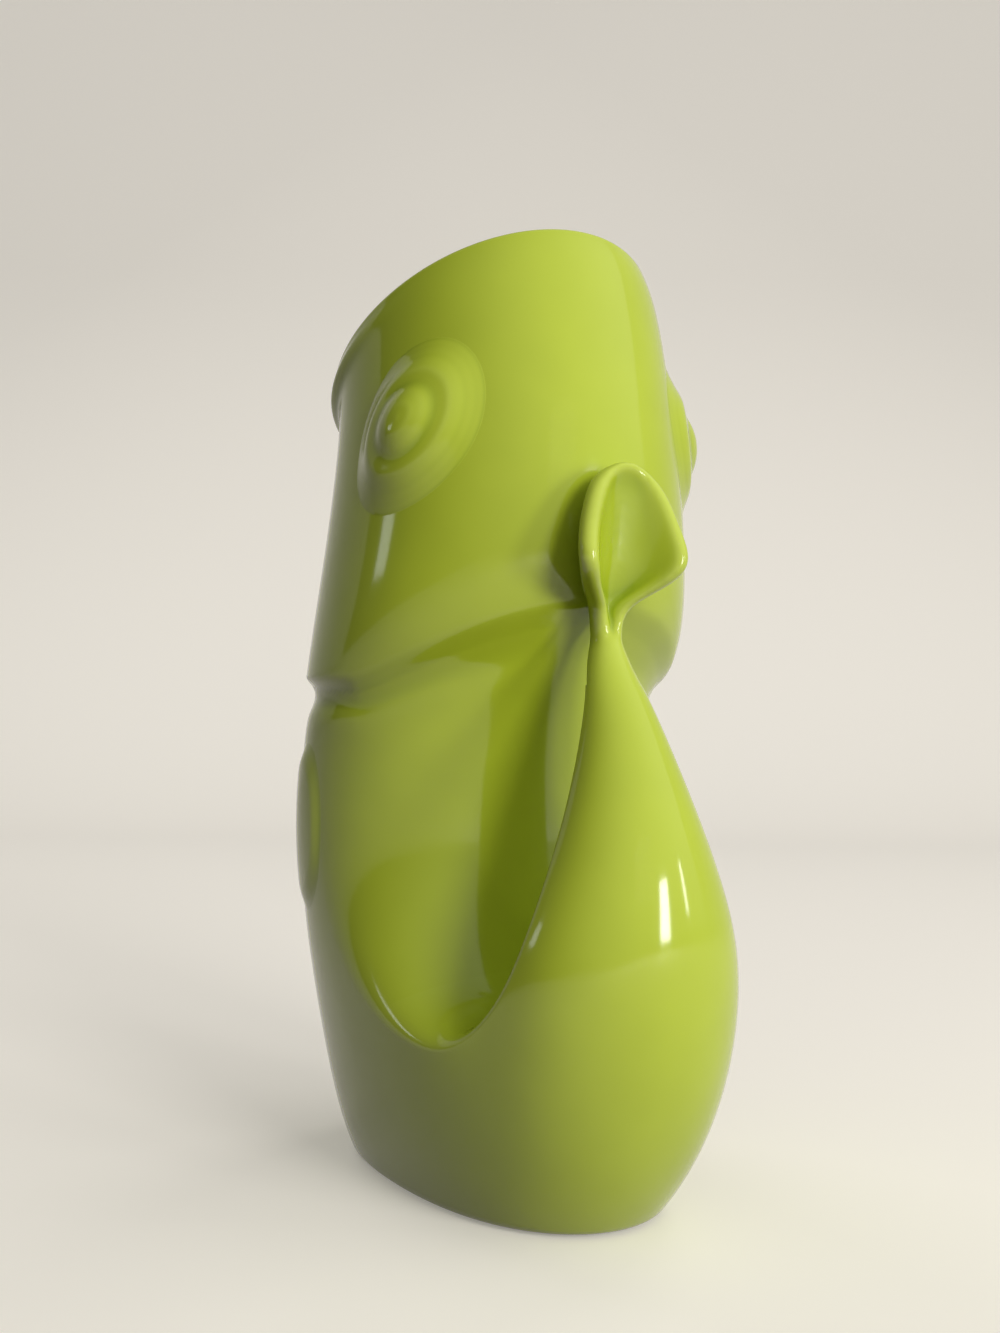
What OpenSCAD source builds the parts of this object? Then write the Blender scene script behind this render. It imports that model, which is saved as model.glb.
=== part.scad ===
// Fish-shaped gurgle jug: a hollow earthenware fish that stands on its curled tail.
// The open mouth at the top is the spout, and the tail comes up behind as the handle.
// X points forward to the spout, Y to the fish's left, Z up from the table. Lengths forward
// and back are counted from the centre line of the head.
// The skin is one curved tube: sections fan down the body, round the base and up the tail.

/* [Overall] */
// Height of the back of the mouth above the table
height = 250; // [220:1:300]
// Thickness of the cast wall
wall = 5; // [4:0.25:6]
// Thickness of the floor inside the base
floor_t = 7; // [5:0.5:10]

/* [Mouth] */
// How far the spout lies below the back of the mouth
spout_drop = 50; // [40:1:60]
// Width of the mouth across its lips
mouth_w = 87; // [78:1:105]
// Reach of the mouth behind the centre line
mouth_back = 39; // [33:1:46]
// Reach of the spout in front of the centre line
spout_front = 50; // [42:1:58]
// Width of the throat just under the lips
throat_w = 87; // [74:1:100]
// Reach of the throat behind the centre line
throat_back = 40.5; // [35:0.5:46]
// Reach of the throat in front of the centre line
throat_front = 43; // [36:1:50]
// How far the rolled lip stands out at the spout
lip_roll = 1.75; // [0:0.25:3]

/* [Head] */
// Width across the gill covers
head_w = 102; // [90:1:116]
// Reach of the head behind the centre line
head_back = 48; // [42:1:56]
// Reach of the head in front of the centre line
head_front = 53; // [46:1:60]
// How far the nape swells between the mouth and the gill edge
nape = 5.5; // [0:0.25:7]
// Height of the gill edge at the back
gill_h = 152; // [142:1:165]
// Height of the gill edge on the flanks
gill_low = 131.5; // [126:0.5:138]
// How far the lower end of the head falls from the back to the front
gill_drop = 34; // [26:1:42]
// How far the gill covers stand proud of the body
gill_lift = 2; // [1:0.25:3.5]
// Depth of the groove under the gill edge
gill_groove = 1; // [0:0.25:2]

/* [Body] */
// Width of the body under the gill covers
waist_w = 101; // [88:1:112]
// Reach of the waist behind the centre line
waist_back = 34; // [30:1:40]
// Reach of the waist in front of the centre line
waist_front = 54; // [46:1:60]
// Width of the belly where the base begins to bend
belly_w = 95; // [82:1:108]
// Reach of the belly in front of the centre line
belly_front = 61; // [52:1:70]

/* [Base] */
// Reach of the base behind the centre line
base_back = 85; // [77:1:95]
// Height at which the base is longest
base_level = 52; // [45:1:60]
// How far the rounded base would go on below the foot
base_sink = 30; // [22:1:36]
// Height of the bare foot ring
foot_h = 0.8; // [0.6:0.1:2]
// Width of the bare foot ring
foot_ring_w = 5; // [3:0.5:8]
// Distance of the foot ring from the edge of the base
foot_inset = 4; // [3:0.5:8]

/* [Handle] */
// Middle of the handle gap behind the centre line
gap_x = 43; // [40:1:48]
// Length of the handle gap between the body and the tail
gap_len = 36; // [30:1:42]
// Height of the bottom of the handle gap
gap_h = 53; // [46:1:62]
// Height of the rounded lower end of the handle gap
gap_round = 43; // [34:1:52]
// Width of the tail at its root
root_w = 61; // [50:1:72]
// How far the edge of the tail lies out from the handle gap
edge_in = 7.5; // [5:0.5:10]
// How much the tail is slimmed between its root and its neck
tail_slim = 2.8; // [0:0.2:5]
// Width of the tail at its neck
neck_w = 17; // [13:0.5:21]
// Thickness of the tail at its neck
neck_t = 10; // [8:0.5:13]
// Reach of the inside of the neck behind the centre line
neck_back = 54.5; // [52:0.5:62]
// Height of the neck below the gill edge
neck_drop = 21; // [15:1:28]

/* [Tail fin] */
// Width of the tail fin before its sides are curled
fin_w = 42; // [34:1:52]
// Height of the tail fin above the neck
fin_h = 58; // [50:1:66]
// How far the sides of the tail fin curl, in degrees
fin_curl = 84; // [60:1:100]
// Thickness of the tail fin
fin_t = 6; // [4.5:0.25:7.5]

/* [Eyes and side fins] */
// Radius of an eyeball
eye_r = 6.5; // [5:0.25:8]
// How far an eyeball stands proud of the head
eye_top = 7; // [5.5:0.25:9]
// Radius of the raised ring round an eye
eye_ring_r = 12.25; // [10:0.25:15]
// Height of the raised ring round an eye
eye_ring_h = 3.6; // [2.6:0.1:5]
// Height of the groove between an eyeball and its ring
eye_groove_h = 3.2; // [1.6:0.1:4]
// Length of a side fin down the body
side_fin_len = 48; // [38:1:58]
// Width of a side fin round the body
side_fin_w = 32; // [24:1:42]
// How far a side fin stands proud of the body
side_fin_t = 1.6; // [1:0.2:3]

/* [Hidden] */

glaze = [0.66, 0.74, 0.27];
bare_clay = [0.87, 0.82, 0.73];

// Clearance left under a piece that is set on a curved face
seat_gap = 0.2;
// Points round each section, and how many of them lie on each half of the flat foot
around = 48;
foot_points = 6;
// Least share of a section, in degrees, that the foot points take up
foot_spread = 30;

spout_h = height - spout_drop;
gill_front_h = gill_h - gill_drop;
// Fall from the gill edge to the first row of the body, at the back and at the front
waist_fall = 14;
waist_front_fall = 12;
waist_h = gill_h - waist_fall;
waist_front_h = gill_front_h - waist_front_fall;
neck_h = gill_h - neck_drop;
gap_top = gap_h + gap_round;
body_back = gap_x - gap_len / 2;

// The curl, in degrees, that stands for a flat section
least_curl = 0.01;
// Where the gill edge begins to climb, the power of its climb, and the heights above it at which
// the gill covers begin to lift and are at their fullest, and the place and half length of the
// groove below it
arch_from = 8;
arch_power = 1.25;
lift_from = 74;
lift_full = 5.5;
groove_below = 2.5;
groove_len = 3.5;
// Place and length of the rolled lip along the tube, in control rows
roll_s = 0.42;
roll_len = 0.28;

function mix(a, b, t) = a + (b - a) * t;
function smooth(t) = let (u = max(0, min(1, t))) u * u * (3 - 2 * u);

// Places along the tube, counted in control rows, where the castings meet
gill_s = 5;
belly_s = 9;
root_s = 15;
hollow_end_s = 17.4;
fin_s = 18.5;
tip_s = 26;

// A control row holds: inner edge x and z, outer edge x and z, the share of the way across at
// which the section is widest, its half width, how far its sides curl in degrees, and the power
// that shapes its halves, where 1 is an ellipse and less is squarer.
function row(inner, outer, widest, width, curl = 0, power = 1) =
    concat(inner, outer, [widest, width / 2, curl, power]);
half = 0.5;
mouth_row = row([-mouth_back, height], [spout_front, spout_h], half, mouth_w);

// From the throat down to the gill edge the head widens steadily, and its back swells early.
function head_row(down) =
    row([-mix(throat_back, head_back, sin(90 * down)) - nape * sin(180 * down),
         mix(height, gill_h, down)],
        [mix(throat_front, head_front, down), mix(spout_h, gill_front_h, down)],
        half, mix(throat_w, head_w, down));
head_rows = [for (down = [0.06, 0.27, 0.52, 0.77, 1]) head_row(down)];

// The body leans forward from the waist to leave room for a hand behind it. Its last row has
// come this share of the way to the belly, where the base begins.
belly_share = 0.75;
belly_widest = 0.46;
function body_row(down, back, widest) =
    let (share = belly_share * down)
    row([-mix(waist_back, body_back, back), mix(waist_h, gap_top, down)],
        [mix(waist_front, belly_front, share), mix(waist_front_h, base_level, share)],
        widest, mix(waist_w, belly_w, share));
body_rows = [body_row(0, 0, half), body_row(0.5, 0.7, half), body_row(1, 1, belly_widest)];

// Round the base the sections fan from the belly to the root of the tail. Their inner ends
// follow the rounded end of the handle gap and their outer ends the egg-shaped base.
base_turns = 6;
// First and last angle round the gap and round the base
gap_arc = [28, 153];
base_arc = [4, 182];
// Powers that square the front of the base, and that spread its narrowing to the tail
front_power = 0.37;
width_power = 1.3;
// How far the widest line of the belly lies out from the handle gap
belly_edge_in = 34;
function gap_edge(turn) =
    let (a = mix(gap_arc[0], gap_arc[1], turn))
    [gap_len / 2 * cos(a) - gap_x, gap_h + gap_round * (1 - sin(a))];
function base_edge(turn) =
    let (a = mix(base_arc[0], base_arc[1], turn),
         x = cos(a) > 0 ? belly_front * pow(cos(a), front_power) : base_back * cos(a))
    [x, base_level - (base_level + base_sink) * sin(a)];
function base_row(turn) =
    let (inner = gap_edge(turn),
         outer = base_edge(turn),
         widest = mix(edge_in, belly_edge_in, pow(1 - turn, 3)) / norm(outer - inner))
    row(inner, outer, widest, mix(belly_w, root_w, pow(turn, width_power)));
base_rows = [for (i = [0:base_turns]) base_row(i / base_turns)];

// The tail narrows to its neck, with a full rounded back.
root = base_rows[base_turns];
tail_bulge = 1.5;
neck_widest = 0.26;
function tail_row(up) =
    row([mix(root[0], -neck_back, up) - tail_bulge * sin(180 * up), mix(root[1], neck_h, up)],
        [-mix(base_back, neck_back + neck_t, up * up), mix((root[1] + root[3]) / 2, neck_h, up)],
        mix(root[4], neck_widest, up), mix(root_w, neck_w, up) - tail_slim * sin(180 * up));
tail_rows = [for (up = [0.25, 0.6, 1]) tail_row(up)];

// The stem goes on slim to the head, and there the fin opens like the bowl of a spoon. Its back
// rests on the head and its rim curls away from it. Each row: share of the height, distance from
// the head, share of the thickness, place of the widest line, shares of width and curl, power.
fin_shape = [[0.12, -2.7, 1.6, 0.4, 0.3, 0, 0.9],
             [0.267, -3.9, 0.9, half, 0.133, 0.07, 0.8],
             [0.414, -3.1, 1, half, 0.24, 0.48, 0.5],
             [0.56, -0.3, 1.08, half, 0.98, 1, 0.35],
             [0.707, 0.5, 1, half, 0.79, 0.9, 0.35],
             [0.88, 2.3, 1.08, half, 0.54, 0.65, 0.4],
             [0.974, 5, 1, half, 0.24, 0.24, 0.5],
             [1, 7.7, 0.33, half, 0.02, 0, 0.8]];
fin_seat = gill_s - 0.69;
front_rows = concat([mouth_row], head_rows, body_rows, base_rows, tail_rows);
fin_x = covered(front_rows, fin_seat, 180)[0] - seat_gap / 4;
function fin_row(f) =
    let (x = fin_x - f[1], z = neck_h + fin_h * f[0])
    row([x, z], [x - fin_t * f[2], z], f[3], fin_w * f[4], fin_curl * f[5], f[6]);
rows = concat(front_rows, [for (f = fin_shape) fin_row(f)]);

// The origin lies on the table, under the middle of the jug's length.
reach_x = [for (s = [0:0.1:tip_s]) section(rows, s)[2]];
middle_x = (max(reach_x) + min(reach_x)) / 2;

// Smooth curve through the control rows, carried on straight at both ends
function control(list, i) =
    let (last = len(list) - 1)
    i < 0 ? 2 * list[0] - list[1] : i > last ? 2 * list[last] - list[last - 1] : list[i];
function section(list, s) =
    let (i = min(floor(s), len(list) - 2), t = s - i)
    (pow(1 - t, 3) * control(list, i - 1)
     + (3 * pow(t, 3) - 6 * t * t + 4) * control(list, i)
     + (-3 * pow(t, 3) + 3 * t * t + 3 * t + 1) * control(list, i + 1)
     + pow(t, 3) * control(list, i + 2)) / 6;

// A point of the skin: angle 0 is the outer edge, 90 the fish's left, 180 the inner edge.
// The inset moves the whole section inward, and nothing goes lower than low.
function skin(list, s, angle, inset = 0, low = foot_h) =
    let (r = section(list, s),
         inner = [r[0], r[1]],
         outer = [r[2], r[3]],
         along = (outer - inner) / norm(outer - inner),
         span = norm(outer - inner) - 2 * inset,
         out = cos(angle) > 0 ? span * (1 - r[4]) * pow(cos(angle), r[7])
               : -span * r[4] * pow(-cos(angle), r[7]),
         curl = max(least_curl, r[6]),
         bend = (r[5] - inset) * 180 / PI / curl,
         turn = curl * sin(angle),
         depth = inset + span * r[4] + out * cos(turn) + bend * (1 - cos(turn)),
         p = inner + along * depth)
    [p[0], (bend - out) * sin(turn), max(p[1], low)];

// The gill covers lift the skin of the head, and fall back to the body along an arched edge
// that is level on the flanks and climbs to the nape. A groove runs under the edge.
function lift(p) =
    let (climb = max(0, -p[0] - arch_from) / (head_back + seat_gap - arch_from),
         above = p[2] - mix(gill_low, gill_h, pow(climb, arch_power)))
    gill_lift * smooth((lift_from - above) / (lift_from - lift_full)) * smooth(above / lift_full)
    - gill_groove * exp(-pow((above + groove_below) / groove_len, 2));
// The lip is rolled outward at the spout, and dies out toward the back of the mouth.
function roll(s, angle) =
    lip_roll * exp(-pow((s - roll_s) / roll_len, 2)) * smooth(half + cos(angle));
function covered(list, s, angle) =
    skin(list, s, angle, -lift(skin(list, s, angle)) - roll(s, angle));

// Angle at which a section meets the flat foot, so that a row of points runs along its edge
function foot_angle(s, inset, low) =
    let (r = section(rows, s),
         inner = [r[0], r[1]],
         outer = [r[2], r[3]],
         fall = (inner[1] - outer[1]) / norm(outer - inner),
         span = norm(outer - inner) - 2 * inset,
         height_left = inner[1] - low - fall * (inset + span * r[4]),
         reach = fall * span * (1 - r[4]))
    fall > 0 && height_left < reach
    ? max(foot_spread, acos(pow(height_left / reach, 1 / r[7]))) : foot_spread;
function ring_angle(k, foot) =
    let (last = around / 2,
         i = k > last ? around - k : k,
         a = i < foot_points ? foot * i / foot_points
             : mix(foot, 180, (i - foot_points) / (last - foot_points)))
    k > last ? 360 - a : a;
function ring(s, inset = 0, low = foot_h) =
    let (foot = foot_angle(s, inset, low))
    [for (k = [0:around - 1]) skin(rows, s, ring_angle(k, foot), inset, low)];
function cavity_ring(s) = ring(s, wall, foot_h + floor_t);
function cover_ring(s) =
    let (foot = foot_angle(s, 0, foot_h))
    [for (k = [0:around - 1]) covered(rows, s, ring_angle(k, foot))];
function span_of(from, to, steps) = [for (i = [0:steps]) mix(from, to, i / steps)];

// Triangles of the strips between rings of n points, each ring joined to the next. The
// diagonals of the two halves mirror each other.
function strip(rings, n) =
    [for (i = [0:rings - 2], k = [0:n - 1], second = [false, true])
        let (a = i * n + k, b = i * n + (k + 1) % n)
        k < n / 2 ? (second ? [a, b + n, a + n] : [a, b, b + n])
        : (second ? [b, b + n, a + n] : [a, b, a + n])];

// A solid through a run of rings, closed on itself or capped at both ends
module lofted(rings, closed = false) {
    n = len(rings[0]);
    run = closed ? concat(rings, [rings[0]]) : rings;
    count = n * len(rings);
    sides = [for (f = strip(len(run), n)) [for (v = f) v % count]];
    caps = closed ? [] : [[for (k = [n - 1:-1:0]) k], [for (k = [0:n - 1]) count - n + k]];
    polyhedron([for (r = rings, p = r) p - middle_x * [1, 0, 0]], concat(sides, caps));
}

// A pad set on the skin: its back follows the skin and its face rises by a profile.
// The profile lists share of the radius and height, from the rim to the middle.
spokes = 24;
back_shares = [0.08, 0.5];
function pad_point(s, angle, len, width, share, spoke, rise) =
    let (step = 0.01,
         at = function (u, v) covered(rows, u, v),
         down = (at(s + step, angle) - at(s - step, angle)) / (2 * step),
         across = (at(s, angle + 1) - at(s, angle - 1)) / 2,
         u = s + share * len / 2 * cos(spoke) / norm(down),
         v = angle + share * width / 2 * sin(spoke) / norm(across),
         normal = cross(at(u + step, v) - at(u - step, v), at(u, v + 1) - at(u, v - 1)))
    at(u, v) + normal / norm(normal) * rise;
module pad(s, angle, len, width, profile) {
    ring_at = function (share, rise)
        [for (k = [0:spokes - 1])
            pad_point(s, angle, len, width, share, 360 * k / spokes, rise)];
    back = [for (share = back_shares) ring_at(share, seat_gap)];
    lofted(concat(back, [for (p = profile) ring_at(p[0], p[1] + seat_gap)]));
}

// Rings lie close together within this many control rows above and below the lower end of the
// head, where the gill edge falls, and within one row of the lip.
near_above = 1;
near_below = 1.4;
near_lip = 1;
ring_step = 0.4;
lip_step = 0.25;
// The rim of the mouth is rounded to a low crest, square to its slope.
lip_crest = 2;
lip_lean = 30;
module head_casting() {
    outer = [for (s = concat(span_of(gill_s, gill_s - near_above, 5),
                             span_of(gill_s - near_above - ring_step, near_lip, 6),
                             span_of(near_lip - lip_step, 0, 3))) cover_ring(s)];
    lip = [for (p = ring(0, wall / 2)) p + lip_crest * [sin(lip_lean), 0, cos(lip_lean)]];
    inner = [for (s = span_of(0, gill_s, 6)) cavity_ring(s)];
    color(glaze) lofted(concat(outer, [lip], inner), closed = true);
}

module body_casting() {
    outer = [for (s = concat(span_of(gill_s, gill_s + near_below, 8),
                             span_of(gill_s + near_below + ring_step, belly_s, 6))) cover_ring(s)];
    inner = [for (s = span_of(belly_s, gill_s, 5)) cavity_ring(s)];
    color(glaze) lofted(concat(outer, inner), closed = true);
}

module base_casting() {
    outer = [for (s = span_of(belly_s, root_s, 18)) ring(s)];
    inner = [for (s = span_of(root_s, belly_s, 10)) cavity_ring(s)];
    color(glaze) lofted(concat(outer, inner), closed = true);
}

module tail_handle() {
    color(glaze) lofted(concat([for (s = span_of(hollow_end_s, root_s, 5)) cavity_ring(s)],
                               [for (s = span_of(root_s, fin_s, 10)) ring(s)]));
}

module tail_fin() {
    blade = span_of(fin_s, tip_s - 1, 18);
    tip = [tip_s - 0.6, tip_s - 0.3, tip_s - 0.1];
    color(glaze) lofted([for (s = concat(blade, tip)) ring(s)]);
}

// The foot ring is the bare rim on which the jug stands.
module foot_ring() {
    close = 0.001;
    crossing = [for (s = span_of(belly_s, root_s, 60))
        let (p = ring(s)[foot_points]) if (p[2] <= foot_h + close) p];
    front = max([for (p = crossing) p[0]]);
    back = min([for (p = crossing) p[0]]);
    half_w = max([for (p = crossing) p[1]]);
    oval = function (inset)
        [for (a = [0:5:355])
            [(front + back) / 2 - middle_x + ((front - back) / 2 - inset) * cos(a),
             (half_w - inset) * sin(a)]];
    color(bare_clay) linear_extrude(foot_h) difference() {
        polygon(oval(foot_inset));
        polygon(oval(foot_inset + foot_ring_w));
    }
}

// An eyeball stands in a broad raised ring that runs out softly onto the head.
eye_s = 2.54;
eye_angle = 119;
skirt_r = 1.6 * eye_ring_r;
function eye_rise(r) =
    r > eye_ring_r ? eye_ring_h * smooth((skirt_r - r) / (skirt_r - eye_ring_r))
    : mix(eye_groove_h, eye_ring_h, smooth((r - eye_r) / (eye_ring_r - eye_r)));
module eye() {
    ring_profile = [for (r = span_of(skirt_r, eye_r, 10)) [r / skirt_r, eye_rise(r)]];
    ball_profile = [for (a = [16:16:80])
        [eye_r * cos(a) / skirt_r, mix(eye_groove_h, eye_top, sin(a))]];
    pad(eye_s, eye_angle, 2 * skirt_r, 2 * skirt_r, concat(ring_profile, ball_profile));
}
module left_eye() { color(glaze) eye(); }
module right_eye() { color(glaze) mirror([0, 1, 0]) eye(); }

// A side fin is a plain oval with a rounded edge.
side_fin_s = 7.2;
side_fin_angle = 76;
edge_share = 0.14;
module side_fin() {
    edge = [for (a = [0:18:90]) [1 - edge_share * (1 - cos(a)), side_fin_t * sin(a)]];
    face = [for (share = [0.55, 0.1]) [share, side_fin_t]];
    pad(side_fin_s, side_fin_angle, side_fin_len, side_fin_w, concat(edge, face));
}
module left_side_fin() { color(glaze) side_fin(); }
module right_side_fin() { color(glaze) mirror([0, 1, 0]) side_fin(); }

head_casting();
body_casting();
base_casting();
tail_handle();
tail_fin();
foot_ring();
left_eye();
right_eye();
left_side_fin();
right_side_fin();
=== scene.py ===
import bpy
import numpy as np
from mathutils import Matrix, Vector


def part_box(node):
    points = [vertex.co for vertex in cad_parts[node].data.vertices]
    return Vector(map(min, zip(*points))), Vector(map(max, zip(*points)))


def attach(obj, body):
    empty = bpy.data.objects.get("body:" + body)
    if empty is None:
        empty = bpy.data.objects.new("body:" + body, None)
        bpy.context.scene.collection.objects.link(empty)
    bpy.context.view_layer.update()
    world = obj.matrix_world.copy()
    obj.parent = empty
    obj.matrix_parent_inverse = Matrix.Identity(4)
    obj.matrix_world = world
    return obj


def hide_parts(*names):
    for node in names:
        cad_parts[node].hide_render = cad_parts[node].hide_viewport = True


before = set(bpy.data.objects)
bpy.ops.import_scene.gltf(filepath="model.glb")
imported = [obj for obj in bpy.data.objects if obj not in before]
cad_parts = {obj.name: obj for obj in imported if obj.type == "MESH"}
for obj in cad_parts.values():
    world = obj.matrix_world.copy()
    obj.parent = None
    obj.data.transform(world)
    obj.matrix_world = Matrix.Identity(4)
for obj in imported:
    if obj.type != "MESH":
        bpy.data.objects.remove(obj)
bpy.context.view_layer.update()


# Hollow castings: the head, the body, the base and the tail that serves as the handle.
# Earthenware slip is cast in plaster moulds, the sections are luted into one hollow fish,
# and the whole is glazed and fired. The skin is one curved tube from the mouth to the tail.
MM = 0.001
height = 250
wall = 5
floor_t = 7
foot_h = 0.8
foot_round = 2

spout_drop = 50
mouth_w = 87
mouth_back = 39
spout_front = 50
throat_w = 87
throat_back = 40.5
throat_front = 43
lip_roll = 1.75
lip_roll_s = 0.42
lip_roll_spread = 0.28
lip_crest = 1.4

head_w = 101.5
head_back = 48
head_front = 53
nape = 5.5
gill_h = 152
gill_drop = 34

waist_w = 101
waist_back = 34
waist_front = 54
waist_fall = 14
waist_front_fall = 12
belly_w = 95
belly_front = 60.94
belly_share = 0.75
belly_widest = 0.46

base_back = 84.95
base_level = 52
base_sink = 30
base_turns = 6
gap_arc = (28, 153)
base_arc = (4, 182)
front_power = 0.37
base_width_power = 1.3
belly_edge_in = 34

gap_x = 43
gap_len = 36
gap_h = 53
gap_round = 43
root_w = 61
edge_in = 7.5
neck_w = 17
neck_t = 10
neck_back = 54.5
neck_drop = 21
neck_widest = 0.26
tail_bulge = 1.5
tail_slim = 2.8
tail_taper = 2
tail_edge_power = 0.55
stem_x = 50.33
stem_power = 0.9

spout_h = height - spout_drop
gill_front_h = gill_h - gill_drop
waist_h = gill_h - waist_fall
waist_front_h = gill_front_h - waist_front_fall
neck_h = gill_h - neck_drop
gap_top = gap_h + gap_round
body_back = gap_x - gap_len / 2


def mix(a, b, t):
    return a + (b - a) * t


def sin(degrees):
    return np.sin(np.radians(degrees))


def cos(degrees):
    return np.cos(np.radians(degrees))


def smooth(t):
    u = np.clip(t, 0, 1)
    return u * u * (3 - 2 * u)


# A control row holds the inner and the outer end of a section, the share of the way across at
# which it is widest, its half width, and how square its outer and inner halves are, where 1 is
# an ellipse.
def row(inner, outer, widest, width, outer_power=1, inner_power=1):
    return [*inner, *outer, widest, width / 2, outer_power, inner_power]


def head_row(down):
    back = mix(throat_back, head_back, sin(90 * down)) + nape * sin(180 * down)
    front = mix(throat_front, head_front, down)
    return row((-back, mix(height, gill_h, down)), (front, mix(spout_h, gill_front_h, down)),
               0.5, mix(throat_w, head_w, down))


def body_row(down, back, widest):
    share = belly_share * down
    return row((-mix(waist_back, body_back, back), mix(waist_h, gap_top, down)),
               (mix(waist_front, belly_front, share), mix(waist_front_h, base_level, share)),
               widest, mix(waist_w, belly_w, share))


def base_row(turn):
    a = mix(*gap_arc, turn)
    inner = np.array([gap_len / 2 * cos(a) - gap_x, gap_h + gap_round * (1 - sin(a))])
    a = mix(*base_arc, turn)
    reach = belly_front * cos(a) ** front_power if cos(a) > 0 else base_back * cos(a)
    outer = np.array([reach, base_level - (base_level + base_sink) * sin(a)])
    edge = mix(edge_in, belly_edge_in, (1 - turn) ** 3)
    return row(inner, outer, edge / np.linalg.norm(outer - inner),
               mix(belly_w, root_w, turn ** base_width_power),
               inner_power=mix(1, tail_edge_power, turn ** 2))


def tail_row(up, root):
    root_x, root_z, _, root_foot, root_widest = root[:5]
    inner = (mix(root_x, -neck_back, up) - tail_bulge * sin(180 * up), mix(root_z, neck_h, up))
    outer = (-mix(base_back, neck_back + neck_t, up ** tail_taper),
             mix((root_z + root_foot) / 2, neck_h, up))
    return row(inner, outer, mix(root_widest, neck_widest, up),
               mix(root_w, neck_w, up) - tail_slim * sin(180 * up), inner_power=tail_edge_power)


def stem_row(z, away, thickness, widest, width):
    near = -stem_x - away
    return row((near, z), (near - thickness, z), widest, width, stem_power, stem_power)


mouth_row = row((-mouth_back, height), (spout_front, spout_h), 0.5, mouth_w)
head_rows = [head_row(down) for down in (0.06, 0.27, 0.52, 0.77, 1)]
body_rows = [body_row(0, 0, 0.5), body_row(0.5, 0.7, 0.5), body_row(1, 1, belly_widest)]
base_rows = [base_row(i / base_turns) for i in range(base_turns + 1)]
tail_rows = [tail_row(up, base_rows[-1]) for up in (0.25, 0.6, 1)]
stem_rows = [stem_row(138, -1.2, 9.6, 0.4, 12.6), stem_row(146.5, -2.4, 7.6, 0.5, 7.2),
             stem_row(151, -1.8, 4.4, 0.5, 4), stem_row(154, 0.6, 1, 0.5, 1)]
rows = np.array([mouth_row, *head_rows, *body_rows, *base_rows, *tail_rows, *stem_rows])

# Places along the tube are counted in rows, from 0 at the mouth.
gill_s = 5
belly_s = 9
root_s = 15
hollow_end_s = 17.4
fin_s = 18.5
tip_s = len(rows) - 1


def section(s, rows=rows):
    """The rows at places s along the tube, on a smooth curve near the control rows."""
    ends = np.vstack([2 * rows[0] - rows[1], rows, 2 * rows[-1] - rows[-2]])
    i = np.clip(np.floor(s).astype(int), 0, len(rows) - 2)
    t = (s - i)[:, None]
    return ((1 - t) ** 3 * ends[i] + (3 * t ** 3 - 6 * t ** 2 + 4) * ends[i + 1]
            + (-3 * t ** 3 + 3 * t ** 2 + 3 * t + 1) * ends[i + 2] + t ** 3 * ends[i + 3]) / 6


outer_reach = section(np.arange(0, tip_s, 0.02))[:, 2]
middle_x = (outer_reach.max() + outer_reach.min()) / 2


def skin(s, angles, inset=0, low=foot_h):
    """Points of the tube in millimetres: angle 0 is the outer edge, 90 the fish's left."""
    r = section(np.asarray(s, float))[:, None, :]
    inset = np.asarray(inset, float)
    inner, outer = r[..., 0:2], r[..., 2:4]
    widest, half, outer_power, inner_power = np.moveaxis(r[..., 4:], 2, 0)
    length = np.linalg.norm(outer - inner, axis=2)
    along = (outer - inner) / length[..., None]
    span = length - 2 * inset
    c = cos(angles)
    outward = (1 - widest) * np.abs(c) ** outer_power
    inward = -widest * np.abs(c) ** inner_power
    depth = inset + span * widest + np.where(c > 0, outward, inward) * span
    p = inner + along * depth[..., None]
    near = np.maximum(foot_round - np.abs(p[..., 1] - low), 0) / foot_round
    z = np.maximum(p[..., 1], low) + near ** 2 * foot_round / 4
    return np.stack([p[..., 0] - middle_x, (half - inset) * sin(angles), z], axis=2)


# The gill covers lift the skin of the head, and fall back to the body along an arched edge that
# is level on the flanks and climbs to the nape. A soft groove runs under the edge.
gill_lift = 2
gill_low = 131.5
gill_arch_from = 8
gill_arch_power = 1.25
gill_rise_h = 74
gill_fall_h = 4
gill_groove = 1.3
gill_groove_below = 2.5
gill_groove_spread = 3.5


def lift(points):
    past = np.maximum(-points[..., 0] - middle_x - gill_arch_from, 0)
    climb = (past / (head_back - gill_arch_from)) ** gill_arch_power
    above = points[..., 2] - gill_low - (gill_h - gill_low) * climb
    rise = smooth((gill_rise_h - above) / (gill_rise_h - gill_fall_h))
    groove = np.exp(-((above + gill_groove_below) / gill_groove_spread) ** 2)
    return gill_lift * rise * smooth(above / gill_fall_h) - gill_groove * groove


def lip_swell(s, angles):
    along = np.exp(-((s - lip_roll_s) / lip_roll_spread) ** 2)
    return lip_roll * along * smooth(0.5 + cos(angles))


def covered(s, angles):
    s = np.asarray(s, float)
    return skin(s, angles, -lift(skin(s, angles)) - lip_swell(s[:, None], angles))


points_around = 224
points_on_foot = 14
points_on_bend = 16
bend_angle = 4
least_foot_angle = 14


def foot_angle(s, inset, low):
    """The angle at which each section leaves the flat foot."""
    r = section(s)
    inner, outer, widest, outer_power = r[:, 0:2], r[:, 2:4], r[:, 4], r[:, 6]
    length = np.linalg.norm(outer - inner, axis=1)
    span = length - 2 * inset
    fall = (inner[:, 1] - outer[:, 1]) / length
    left = inner[:, 1] - low - fall * (inset + span * widest)
    reach_down = fall * span * (1 - widest)
    crossing = (fall > 0) & (left < reach_down) & (left > 0)
    share = np.where(crossing, left / np.where(crossing, reach_down, 1), 1)
    return np.maximum(least_foot_angle, np.degrees(np.arccos(share ** (1 / outer_power))))


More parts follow.
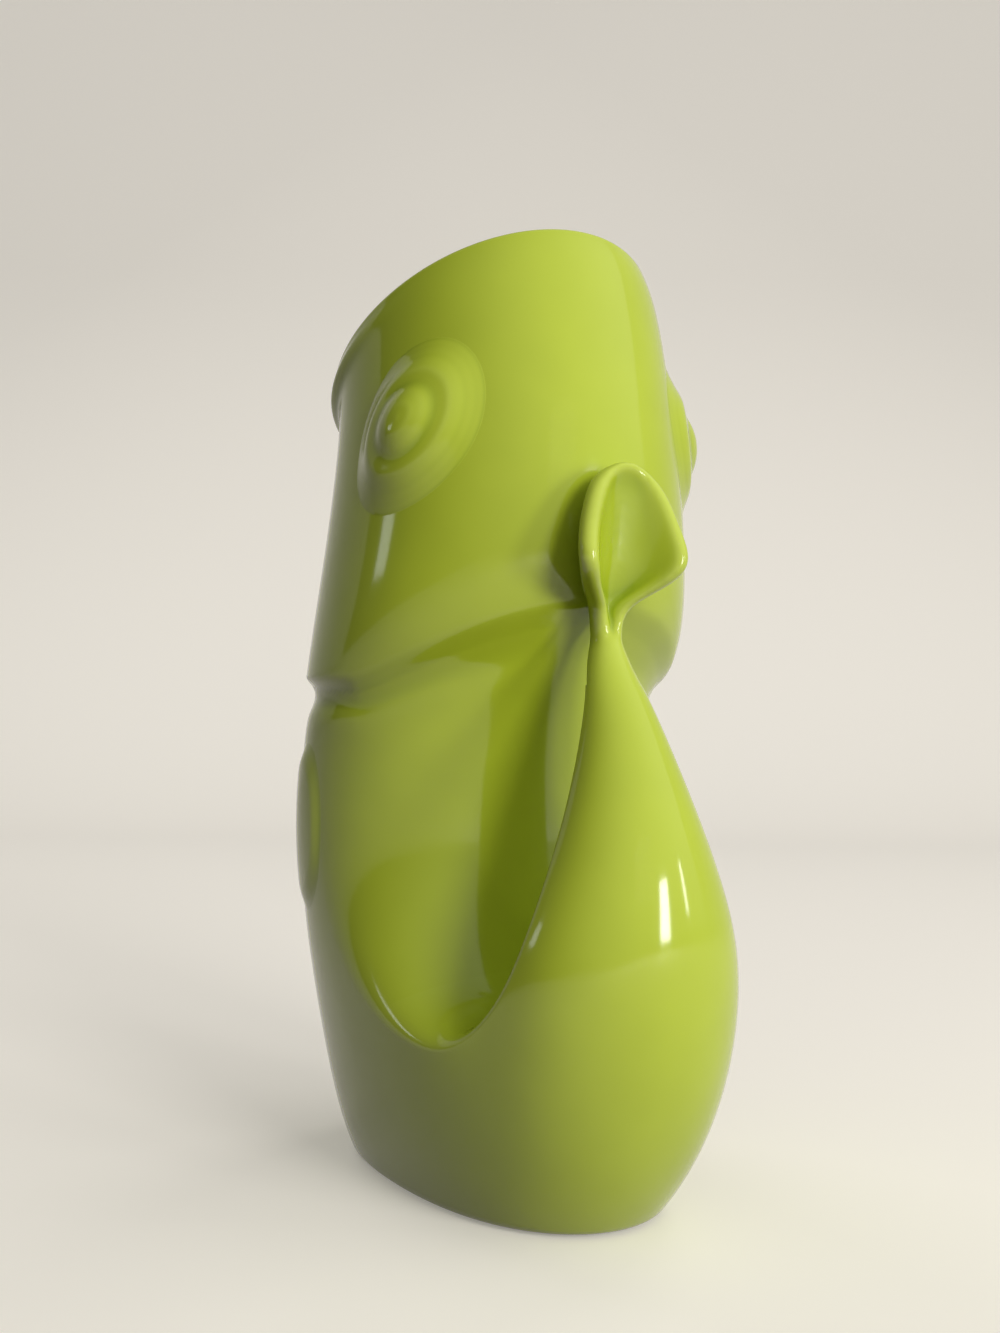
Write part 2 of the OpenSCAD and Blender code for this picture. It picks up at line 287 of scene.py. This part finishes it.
def ring_angles(s, inset, low):
    """Angles of each ring's points, closer together where the section meets the flat foot."""
    def shares(count):
        return np.linspace(0, 1, count + 1)[None, :]

    foot = foot_angle(s, inset, low)[:, None]
    from_foot, to_side = foot - bend_angle, foot + bend_angle
    on_side = points_around // 2 - points_on_foot - points_on_bend
    flat = shares(points_on_foot)[:, :-1] * from_foot
    bend = from_foot + shares(points_on_bend)[:, :-1] * 2 * bend_angle
    side = to_side + shares(on_side) * (180 - to_side)
    half = np.hstack([flat, bend, side])
    return np.hstack([half, 360 - half[:, -2:0:-1]])


def rings(s, inset=0, low=foot_h):
    s = np.asarray(s, float)
    return skin(s, ring_angles(s, inset, low), inset, low)


def covered_rings(s):
    return covered(s, ring_angles(s, 0, foot_h))


def cavity_rings(s):
    return rings(s, wall, foot_h + floor_t)


def spaced(from_s, to_s, step):
    """Places from one end to the other, with one more beyond each end."""
    count = max(2, round(abs(to_s - from_s) / step))
    return from_s + (to_s - from_s) * np.arange(-1, count + 2) / count


def grid_normals(points):
    """Normals of all rings but the first and last, which only steer their neighbours."""
    along = points[2:] - points[:-2]
    round_ = np.roll(points, -1, 1)[1:-1] - np.roll(points, 1, 1)[1:-1]
    normal = np.cross(round_, along)
    return normal / np.linalg.norm(normal, axis=2, keepdims=True)


# How strongly the skin's bend drives the painted shade in hollows and the painted pale sheen on
# edges.
bend_shade_gain = 1.6


def shade_by_bend(points, normals):
    """Share from 0 in a hollow to 1 on an edge, by how the skin bends: painted shade in hollows,
    painted pale sheen on edges.
    """
    def bend(to_next, to_last):
        a = np.linalg.norm(to_next, axis=2, keepdims=True) + 1e-9
        b = np.linalg.norm(to_last, axis=2, keepdims=True) + 1e-9
        return 2 * (to_next / a + to_last / b) / (a + b)

    middle = points[1:-1]
    curve = bend(points[2:] - middle, points[:-2] - middle)
    curve = curve + bend(np.roll(middle, -1, 1) - middle, np.roll(middle, 1, 1) - middle)
    return np.clip(0.5 - bend_shade_gain * (curve * normals).sum(axis=2), 0, 1)


# Stores the painted shade-and-sheen share on each point of a mesh.
def lay_painted_shade(mesh, depth):
    layer = mesh.attributes.new("painted_bend_shade", "FLOAT", "POINT")
    layer.data.foreach_set("value", depth.astype(np.float32).ravel())


def add_piece(name, points, faces):
    """A smooth-shaded object from points in metres."""
    mesh = bpy.data.meshes.new(name)
    mesh.from_pydata(np.asarray(points).tolist(), [], faces)
    mesh.polygons.foreach_set("use_smooth", np.ones(len(faces), bool))
    piece = bpy.data.objects.new(name, mesh)
    bpy.context.scene.collection.objects.link(piece)
    return piece


def ring_piece(name, runs, closed):
    """One closed mesh through runs of rings: smooth along a run, sharp where two runs meet."""
    points = np.concatenate([p[1:-1] for p in runs])
    count, n = points.shape[:2]
    sharp_after = set(np.cumsum([len(p) - 2 for p in runs]) - 1)
    run_normals = [grid_normals(p) for p in runs]
    normals = np.concatenate(run_normals)
    k = np.arange(n)
    k1 = (k + 1) % n
    faces, corners = [], []
    for i in range(count if closed else count - 1):
        j = (i + 1) % count
        faces.append(np.stack([i * n + k, i * n + k1, j * n + k1, j * n + k], axis=1))
        if i in sharp_after:
            a, b, c = points[i], points[i][k1], points[j][k1]
            flat = np.cross(b - a, c - a)
            flat /= np.linalg.norm(flat, axis=1, keepdims=True)
            corners.append(np.repeat(flat[:, None, :], 4, axis=1))
        else:
            here, there = normals[i], normals[j]
            corners.append(np.stack([here, here[k1], there[k1], there], axis=1))
    polygons = np.concatenate(faces).tolist()
    loop_normals = np.concatenate(corners).reshape(-1, 3)
    if not closed:
        for i, order in ((0, k[::-1]), (count - 1, k)):
            ring = points[i][order]
            flat = np.cross(ring, np.roll(ring, -1, 0)).sum(axis=0)
            polygons.append((i * n + order).tolist())
            loop_normals = np.vstack([loop_normals, np.tile(flat / np.linalg.norm(flat), (n, 1))])
    piece = add_piece(name, points.reshape(-1, 3) * MM, polygons)
    piece.data.normals_split_custom_set(loop_normals.tolist())
    # Painted shade in hollows and a painted pale sheen on edges, from how the rings bend.
    bend_shade_shares = [shade_by_bend(p, normal) for p, normal in zip(runs, run_normals)]
    lay_painted_shade(piece.data, np.concatenate(bend_shade_shares))
    return piece


def add_noise(tree, scale, detail):
    place = tree.nodes.new("ShaderNodeTexCoord")
    noise = tree.nodes.new("ShaderNodeTexNoise")
    noise.inputs["Scale"].default_value = scale
    noise.inputs["Detail"].default_value = detail
    tree.links.new(place.outputs["Object"], noise.inputs["Vector"])
    return noise.outputs["Fac"]


def add_ramp(tree, share, first, last, *between):
    """Colours along a share: each stop is a place from 0 to 1 and a colour."""
    ramp = tree.nodes.new("ShaderNodeValToRGB")
    for stop, (place, colour) in zip(ramp.color_ramp.elements, (first, last)):
        stop.position = place
        stop.color = (*colour, 1)
    for place, colour in between:
        ramp.color_ramp.elements.new(place).color = (*colour, 1)
    tree.links.new(share, ramp.inputs["Fac"])
    return ramp.outputs["Color"]


def add_bump(tree, height_share, strength, distance):
    bump = tree.nodes.new("ShaderNodeBump")
    bump.inputs["Strength"].default_value = strength
    bump.inputs["Distance"].default_value = distance
    tree.links.new(height_share, bump.inputs["Height"])
    tree.links.new(bump.outputs["Normal"], tree.nodes["Principled BSDF"].inputs["Normal"])


# The glaze drifts a little in tone; painted shade darkens hollows and creases, and a painted pale
# sheen lightens edges.
lime = np.array((0.43, 0.53, 0.03))
hollow_shade, even, edge_sheen = (0.68, 0.74, 0.5), (1, 1, 1), (1.12, 1.1, 2)
glaze = bpy.data.materials.new("lime_glaze")
glaze.use_nodes = True
tree = glaze.node_tree
tint = add_ramp(tree, add_noise(tree, 22, 3), (0.3, lime * 0.93), (0.72, lime * 1.05))
# Reads the share of painted shade in hollows and painted sheen on edges.
depth = tree.nodes.new("ShaderNodeAttribute")
depth.attribute_name = "painted_bend_shade"
shade_tone = add_ramp(tree, depth.outputs["Fac"], (0, hollow_shade), (1, edge_sheen), (0.5, even))
tint_and_shade = tree.nodes.new("ShaderNodeMix")
tint_and_shade.data_type = "RGBA"
tint_and_shade.blend_type = "MULTIPLY"
tint_and_shade.inputs["Factor"].default_value = 1
tree.links.new(tint, tint_and_shade.inputs["A"])
tree.links.new(shade_tone, tint_and_shade.inputs["B"])
shader = tree.nodes["Principled BSDF"]
tree.links.new(tint_and_shade.outputs["Result"], shader.inputs["Base Color"])
shader.inputs["Roughness"].default_value = 0.1
shader.inputs["IOR"].default_value = 1.52
add_bump(tree, add_noise(tree, 45, 1), 0.12, 1.2 * MM)


def glazed(piece, node):
    piece.data.materials.append(glaze)
    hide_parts(node)
    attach(piece, "root")


def lip_rings(outer, inner, steps):
    """Rings of the half-round rim between the outer skin and the inside of the mouth."""
    middle = (outer + inner) / 2
    reach_out = (outer - inner) / 2
    lean = np.array([spout_h - height, 0, -mouth_back - spout_front])
    up = -lean / np.linalg.norm(lean)
    turns = np.linspace(0, 180, steps + 2)[1:-1]
    return np.array([middle + reach_out * cos(a) + up * lip_crest * sin(a) for a in turns])


outside_step = 0.05
inside_step = 0.25
bend_step = 0.15

head_outer = covered_rings(spaced(gill_s, 0, outside_step)[:-1])
head_inner = cavity_rings(spaced(0, gill_s, inside_step)[1:])
lip = lip_rings(head_outer[-1], head_inner[0], 9)
head = ring_piece("head", [np.concatenate([head_outer, lip, head_inner])], closed=True)
glazed(head, "head_casting")

body_outer = covered_rings(spaced(belly_s, gill_s, 0.06))
body_inner = cavity_rings(spaced(gill_s, belly_s, inside_step))
body = ring_piece("body", [body_outer, body_inner], closed=True)
glazed(body, "body_casting")

# The base's rings lie closer together where the skin turns into the flat foot.
tube = np.linspace(belly_s, root_s, 2000)
foot_front_s, foot_back_s = tube[section(tube)[:, 3] < foot_h][[0, -1]]
base_s = np.unique(np.concatenate([
    spaced(belly_s, root_s, outside_step),
    np.linspace(foot_front_s - 0.15, foot_front_s + 0.25, 45),
    np.linspace(foot_back_s - 0.25, foot_back_s + 0.15, 45)]))
base_inner = cavity_rings(spaced(belly_s, root_s, bend_step))
base = ring_piece("base", [rings(base_s[::-1]), base_inner], closed=True)
glazed(base, "base_casting")

tail_outer = rings(spaced(fin_s, root_s, outside_step))
tail_inner = cavity_rings(spaced(root_s, hollow_end_s, bend_step))
tail = ring_piece("tail", [tail_outer, tail_inner], closed=False)
glazed(tail, "tail_handle")


# Tail fin: the dished end of the tail, pressed in the same clay and luted to the tail's neck.
# It unrolls from the slim stem like a leaf with a rounded rim, and its back is stuck to the head.
# Stem and leaf are pressed into each other and wiped smooth before they are glazed.
stem_shy = 0.04
leaf_dish = 0.2
clay_grain = 0.6 * MM
wipes = 20

# Each row of the leaf holds its height, its back, its thickness, its half width, how far its rims
# turn in degrees, and how much of that turn lies in the middle.
leaf_rows = np.array([
    (138, 49.6, 3.6, 5.6, 172, 0.3), (145, 48.2, 4, 6, 168, 0.3), (150, 47.9, 4.2, 5.8, 162, 0.3),
    (154, 48.2, 4.6, 7.6, 112, 0.6), (157.5, 49.4, 4.8, 14, 70, 1.2), (163, 51.3, 5, 21.6, 57, 2.2),
    (172, 52.3, 5, 17.6, 45, 2.4), (182, 54, 5, 12.6, 39, 2), (187, 56.3, 4.6, 7, 24, 1),
    (189, 59, 3, 1.6, 4, 1)])


def leaf_rings(s):
    """Rings of the leaf: back and dished face between two round rims, bent to a gutter."""
    z, back, thick, half, curl, middle = (v[:, None] for v in section(s, leaf_rows).T)
    rim = thick / 2
    flat = np.maximum(half - rim, 0.05)
    run = np.linspace(-1, 1, 41)[None, :-1]
    tip = np.linspace(-90, 90, 25)[None, :-1]
    dish = 1 - leaf_dish * smooth((1 - np.abs(run)) / 0.5) * smooth((flat - 3) / 6)
    across = np.hstack([flat * run, flat + rim * cos(tip), -flat * run, -flat - rim * cos(tip)])
    outward = np.hstack([-rim + 0 * run, rim * sin(tip), rim * dish, -rim * sin(tip)])
    steps = 100
    share = np.linspace(0, 1, steps + 1)
    bent = curl * np.tanh(middle * share) / np.tanh(middle)
    slope = (bent[:, 1:] + bent[:, :-1]) / 2
    reach_side = np.hstack([0 * half, np.cumsum(cos(slope), axis=1) / steps * half])
    reach_back = np.hstack([0 * half, np.cumsum(sin(slope), axis=1) / steps * half])
    at = np.abs(across) / half
    turn, side, out = (np.array([np.interp(a, share, line) for a, line in zip(at, lines)])
                       for lines in (bent, reach_side, reach_back))
    x = -(back + rim + out + outward * cos(turn))
    y = np.sign(across) * (side - outward * sin(turn))
    return np.stack([x - middle_x, y, z + 0 * across], axis=2)


def to_the_end(first, last):
    """Places up to just short of the last row, which only steers the end."""
    places = spaced(first, last - 0.03, 0.05)
    places[-1] = last
    return places


stem = ring_piece("stem", [rings(to_the_end(fin_s - 0.3, tip_s)[::-1], stem_shy)], closed=False)
leaf = ring_piece("leaf", [leaf_rings(to_the_end(0, len(leaf_rows) - 1))], closed=False)


def worked_together(name, pieces, grain, strokes):
    """One skin over pieces of soft clay that are pressed into each other and smoothed."""
    points, faces = [], []
    for piece in pieces:
        start = len(points)
        points += [v.co[:] for v in piece.data.vertices]
        faces += [[start + v for v in face.vertices] for face in piece.data.polygons]
        bpy.data.objects.remove(piece)
    lump = add_piece(name, points, faces)
    press = lump.modifiers.new("press", "REMESH")
    press.mode = "VOXEL"
    press.voxel_size = grain
    wipe = lump.modifiers.new("wipe", "SMOOTH")
    wipe.factor = 0.5
    wipe.iterations = strokes
    done = lump.evaluated_get(bpy.context.evaluated_depsgraph_get())
    worked = bpy.data.meshes.new_from_object(done)
    lump.modifiers.clear()
    lump.data = worked
    worked.polygons.foreach_set("use_smooth", np.ones(len(worked.polygons), bool))
    return lump


def worked_shade_by_bend(mesh):
    """The share of painted shade in hollows and painted pale sheen on edges, on a mesh without
    rings, from how its edges leave each point's normal.
    """
    n = len(mesh.vertices)
    at, normal = np.zeros(3 * n), np.zeros(3 * n)
    mesh.vertices.foreach_get("co", at)
    mesh.vertices.foreach_get("normal", normal)
    at, normal = at.reshape(-1, 3) / MM, normal.reshape(-1, 3)
    ends = np.zeros(2 * len(mesh.edges), int)
    mesh.edges.foreach_get("vertices", ends)
    ends = ends.reshape(-1, 2)
    a, b = np.concatenate([ends, ends[:, ::-1]]).T
    way = at[b] - at[a]
    count = np.bincount(a, minlength=n)
    curve = np.bincount(a, 4 * (way * normal[a]).sum(1) / (way ** 2).sum(1), n) / count
    for _ in range(6):
        curve = (curve + np.bincount(a, curve[b], n) / count) / 2
    return np.clip(0.5 - bend_shade_gain * curve, 0, 1)


fin = worked_together("fin", [stem, leaf], clay_grain, wipes)
# Painted shade in the fin's hollows and a painted pale sheen on its edges.
lay_painted_shade(fin.data, worked_shade_by_bend(fin.data))
glazed(fin, "tail_fin")


# Foot ring: the bare rim on which the jug stands. It is the same clay, and the glaze is wiped
# off it before the firing so that it doesn't stick to the kiln shelf.
foot_w = 5 * MM
foot_sunk = 0.5 * MM
foot_edge_r = 0.5 * MM


def foot_ring_piece(low, high):
    middle = (low + high) / 2
    reach_out = (high - low) / 2 - foot_w / 2
    turns = np.linspace(0, 90, 7)
    half_w = foot_w / 2 - foot_edge_r
    top = high[2] + foot_sunk
    profile = [(-foot_w / 2, top)]
    profile += [(-half_w - foot_edge_r * cos(a), foot_edge_r - foot_edge_r * sin(a)) for a in turns]
    profile += [(half_w + foot_edge_r * sin(a), foot_edge_r - foot_edge_r * cos(a)) for a in turns]
    profile.append((foot_w / 2, top))
    points, faces, n = [], [], len(profile)
    spokes = 144
    for a in np.arange(spokes) * 360 / spokes:
        across = np.array([cos(a) / reach_out[0], sin(a) / reach_out[1]])
        across /= np.linalg.norm(across)
        for out, z in profile:
            points.append((middle[0] + reach_out[0] * cos(a) + across[0] * out,
                           middle[1] + reach_out[1] * sin(a) + across[1] * out, z))
    for i in range(spokes):
        a, b = i * n, (i + 1) % spokes * n
        for k in range(n):
            k1 = (k + 1) % n
            faces.append((a + k, b + k, b + k1, a + k1))
    return add_piece("foot", points, faces)


foot = foot_ring_piece(*(np.array(corner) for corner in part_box("foot_ring")))
clay = bpy.data.materials.new("bare_clay")
clay.use_nodes = True
tree = clay.node_tree
grain = add_noise(tree, 900, 4)
clay_tint = add_ramp(tree, grain, (0.35, (0.62, 0.54, 0.42)), (0.65, (0.74, 0.66, 0.53)))
tree.links.new(clay_tint, tree.nodes["Principled BSDF"].inputs["Base Color"])
tree.nodes["Principled BSDF"].inputs["Roughness"].default_value = 0.85
add_bump(tree, grain, 0.5, 0.1 * MM)
foot.data.materials.append(clay)
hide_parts("foot_ring")
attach(foot, "root")


# Eyes: a round eyeball in a soft groove, inside a broad raised ring that runs out onto the cheek.
# Both eyes are modelled in the clay of the head and lie under the same glaze.
eye_s = 2.54
eye_angle = 119
eye_skirt_r = 21.5
eye_at = (0, 3.4, 5, 6.2, 7.9, 9, 10.7, 12.5, 14.5, 16.3, 19, 21.5)
eye_rise = (6.8, 6.5, 5.9, 5.4, 4.4, 3.95, 3.7, 3.5, 2.6, 1.7, 0.7, 0)
eye_soft = 0.9
relief_shy = 0.01
relief_sunk = 0.8
relief_back = [(1.02, -0.1), (1.02, -relief_sunk), (0.5, -relief_sunk), (0.02, -relief_sunk)]


def skin_at(u, v):
    return covered(u.ravel(), v.ravel()[:, None])[:, 0].reshape(*u.shape, 3)


def relief(name, s, angle, length, width, profile, side):
    """A low shape on the skin. The profile lists share of the radius and height, middle first."""
    shares, rises = np.array(profile).T[:, :, None]
    spokes = 120
    spoke = np.arange(spokes)[None, :] * 360 / spokes
    step = 0.01
    at, turn = np.array([s]), np.array([angle])
    down = (skin_at(at + step, turn) - skin_at(at - step, turn)) / (2 * step)
    across = (skin_at(at, turn + 1) - skin_at(at, turn - 1)) / 2
    u = s + shares * length / 2 * cos(spoke) / np.linalg.norm(down)
    v = angle + shares * width / 2 * sin(spoke) / np.linalg.norm(across)
    normal = np.cross(skin_at(u + step, v) - skin_at(u - step, v),
                      skin_at(u, v + 1) - skin_at(u, v - 1))
    normal /= np.linalg.norm(normal, axis=2, keepdims=True)
    grid = skin_at(u, v) + normal * rises[..., None]
    # Painted shade in the relief's hollows and a painted pale sheen on its edges.
    depth = shade_by_bend(np.concatenate([grid[:1], grid, grid[-1:]]), normal)
    last = (len(profile) - 1) * spokes
    faces = []
    for i in range(0, last, spokes):
        for k in range(spokes):
            k1 = (k + 1) % spokes
            faces.append([i + k, i + spokes + k, i + spokes + k1, i + k1])
    faces.append(list(range(spokes)))
    faces.append([last + k for k in range(spokes)][::-1])
    points = grid.reshape(-1, 3)
    if side < 0:
        points[:, 1] *= -1
        faces = [face[::-1] for face in faces]
    piece = add_piece(name, points * MM, faces)
    lay_painted_shade(piece.data, depth)
    return piece


# The eye's heights are blurred along the radius, and its outer edge is drawn down to the cheek.
eye_line = np.linspace(-eye_skirt_r, 2 * eye_skirt_r, 301)
blur = np.exp(-(np.arange(-12, 13) * 3 * eye_skirt_r / 300 / eye_soft) ** 2)
eye_line_rise = np.interp(np.abs(eye_line), eye_at, eye_rise)
eye_line_rise = np.convolve(eye_line_rise, blur / blur.sum(), "same")
eye_reach = np.linspace(0.05, eye_skirt_r, 70)
eye_height = np.interp(eye_reach, eye_line, eye_line_rise)
eye_share = eye_reach / eye_skirt_r
eye_height = eye_height - eye_height[-1] * smooth((eye_share - 0.6) / 0.4) - relief_shy
eye_profile = [*zip(eye_share, eye_height), *relief_back]
for name, node, side in (("eye_left", "left_eye", 1), ("eye_right", "right_eye", -1)):
    eye = relief(name, eye_s, eye_angle, 2 * eye_skirt_r, 2 * eye_skirt_r, eye_profile, side)
    glazed(eye, node)


# Side fins: plain raised ovals on the flanks, modelled in the clay and glazed with the rest.
# Each has a rounded edge and a gently domed face.
side_fin_s = 7.2
side_fin_angle = 76
side_fin_len = 48
side_fin_w = 32
side_fin_t = 1.5
side_fin_edge = 0.3
side_fin_edge_share = 0.55

fin_share = np.linspace(0.01, 1, 50)
fin_edge = side_fin_edge_share * smooth((1 - fin_share) / side_fin_edge)
fin_dome = (1 - side_fin_edge_share) * (1 - fin_share ** 2)
side_fin_height = side_fin_t * (fin_edge + fin_dome) - relief_shy
side_fin_profile = [*zip(fin_share, side_fin_height), *relief_back]
for name, node, side in (("side_fin_left", "left_side_fin", 1),
                         ("side_fin_right", "right_side_fin", -1)):
    flap = relief(name, side_fin_s, side_fin_angle, side_fin_len, side_fin_w,
                  side_fin_profile, side)
    glazed(flap, node)


# Floor and backdrop: one plain pale sheet that runs level under the jug and curves up behind.
# It is not part of the jug.
camera_turn = 31
sheet_half_w = 8
sheet_front = 3
sheet_back = 1.4
sheet_rise = 2.6
sheet_bend = 0.6
pale = (0.78, 0.75, 0.69, 1)

toward_camera = np.array([-cos(camera_turn), sin(camera_turn), 0])
to_right = np.array([-sin(camera_turn), -cos(camera_turn), 0])
turns = np.linspace(0, 90, 25)
sheet_profile = [(-sheet_front, 0)]
sheet_profile += [(sheet_back - sheet_bend + sheet_bend * sin(a), sheet_bend - sheet_bend * cos(a))
                  for a in turns]
sheet_profile.append((sheet_back, sheet_rise))
sheet_points = [np.array([0, 0, up]) - toward_camera * along - to_right * reach
                for along, up in sheet_profile for reach in (-sheet_half_w, sheet_half_w)]
sheet_faces = [(i, i + 1, i + 3, i + 2) for i in range(0, len(sheet_points) - 2, 2)]
floor = add_piece("floor", sheet_points, sheet_faces)

paper = bpy.data.materials.new("pale_paper")
paper.use_nodes = True
nodes, links = paper.node_tree.nodes, paper.node_tree.links
sheet = nodes["Principled BSDF"]
sheet.inputs["Base Color"].default_value = pale
sheet.inputs["Roughness"].default_value = 0.9
sheet.inputs["Emission Color"].default_value = pale
sheet.inputs["Emission Strength"].default_value = 0.32
dim = nodes.new("ShaderNodeBsdfDiffuse")
dim.inputs["Color"].default_value = (0.1, 0.08, 0.06, 1)
path = nodes.new("ShaderNodeLightPath")
seen_or_glossy = nodes.new("ShaderNodeMath")
links.new(path.outputs["Is Camera Ray"], seen_or_glossy.inputs[0])
links.new(path.outputs["Is Glossy Ray"], seen_or_glossy.inputs[1])
seen = nodes.new("ShaderNodeMath")
seen.use_clamp = True
links.new(seen_or_glossy.outputs["Value"], seen.inputs[0])
links.new(path.outputs["Is Transmission Ray"], seen.inputs[1])
choose = nodes.new("ShaderNodeMixShader")
links.new(seen.outputs["Value"], choose.inputs["Fac"])
links.new(dim.outputs["BSDF"], choose.inputs[1])
links.new(sheet.outputs["BSDF"], choose.inputs[2])
links.new(choose.outputs["Shader"], nodes["Material Output"].inputs["Surface"])
floor.data.materials.append(paper)


# Light: a soft key lamp and a tall window to the right of the camera, narrow panels on both
# sides, two weak lamps for the far side, and a dim room that is brighter to the right.
warm = (1, 0.98, 0.95)
cool = (0.95, 0.98, 1)
aim = np.array([0, 0, 0.13])


def placed(axes, spot):
    return Matrix([[*turned, at] for turned, at in zip(axes, spot)] + [[0, 0, 0, 1]])


def around_jug(turn, rise, away):
    """A place seen from the jug: degrees to the right of the camera, degrees up, metres away."""
    flat = toward_camera * cos(turn) + to_right * sin(turn)
    return aim + away * (flat * cos(rise) + np.array([0, 0, sin(rise)]))


def area_light(name, place, width, tall, power, color):
    data = bpy.data.lights.new(name, "AREA")
    data.shape = "RECTANGLE"
    data.size = width
    data.size_y = tall
    data.energy = power
    data.color = color
    lamp = bpy.data.objects.new(name, data)
    bpy.context.scene.collection.objects.link(lamp)
    look = aim - place
    look /= np.linalg.norm(look)
    right = np.cross(look, [0, 0, 1])
    right /= np.linalg.norm(right)
    up = np.cross(right, look)
    lamp.matrix_world = placed(np.stack([right, up, -look], axis=1), place)
    return lamp


soft_key = area_light("soft_key", around_jug(33, 18, 1.3), 0.4, 0.4, 7.8, warm)
soft_key.visible_glossy = False
for turn in (-140, 140):
    far_fill = area_light("far_fill", around_jug(turn, 45, 1.3), 0.5, 0.5, 2.2, warm)
    far_fill.visible_glossy = False
area_light("window", around_jug(53, 4.5, 1.3), 0.19, 0.34, 4.2, warm)
area_light("window_side", around_jug(76, 7, 1.3), 0.05, 0.26, 0.6, warm)
area_light("left_panel", around_jug(-82, 13, 1.5), 0.22, 0.16, 0.36, cool)

room_glow = 0.09
room_lobes = ((36, 30, 0.7, 2), (98, 28, 0.8, 5))
world = bpy.data.worlds.new("soft_room")
world.use_nodes = True
nodes, links = world.node_tree.nodes, world.node_tree.links
nodes["Background"].inputs["Color"].default_value = (1, 0.985, 0.95, 1)
way = nodes.new("ShaderNodeTexCoord")


def add_math(operation, first, second):
    step = nodes.new("ShaderNodeMath")
    step.operation = operation
    links.new(first, step.inputs[0])
    step.inputs[1].default_value = second
    return step


glow = None
for turn, rise, power, narrow in room_lobes:
    facing = nodes.new("ShaderNodeVectorMath")
    facing.operation = "DOT_PRODUCT"
    facing.inputs[1].default_value = (around_jug(turn, rise, 1) - aim).tolist()
    links.new(way.outputs["Generated"], facing.inputs[0])
    front = add_math("MAXIMUM", facing.outputs["Value"], 0)
    lobe = add_math("POWER", front.outputs["Value"], narrow)
    fill = add_math("MULTIPLY_ADD", lobe.outputs["Value"], power)
    fill.inputs[2].default_value = room_glow
    if glow is not None:
        links.new(glow, fill.inputs[2])
    glow = fill.outputs["Value"]
links.new(glow, nodes["Background"].inputs["Strength"])
bpy.context.scene.world = world


# Camera: level with the gill edge, behind the fish and to its left, near enough that the base
# looks larger than the mouth. Its place and focal length were fitted to the jug's outline.
camera_away = 0.431
camera_h = 0.1385
camera_roll = 0.6
focal_px = 1550
image_w = 1000
image_h = 1333
centre_px = (498, 666.5)
film = 36
data = bpy.data.cameras.new("camera")
data.sensor_fit = "AUTO"
data.sensor_width = film
data.lens = film * focal_px / image_h
data.shift_x = (image_w / 2 - centre_px[0]) / image_h
data.shift_y = (centre_px[1] - image_h / 2) / image_h
camera = bpy.data.objects.new("camera", data)
bpy.context.scene.collection.objects.link(camera)
up = np.array([0, 0, 1])
axes = np.stack([to_right * cos(camera_roll) + up * sin(camera_roll),
                 up * cos(camera_roll) - to_right * sin(camera_roll), toward_camera], axis=1)
spot = np.array([-middle_x * MM, 0, camera_h]) + toward_camera * camera_away
camera.matrix_world = placed(axes, spot)
bpy.context.scene.camera = camera

bpy.context.scene.view_settings.view_transform = "Standard"
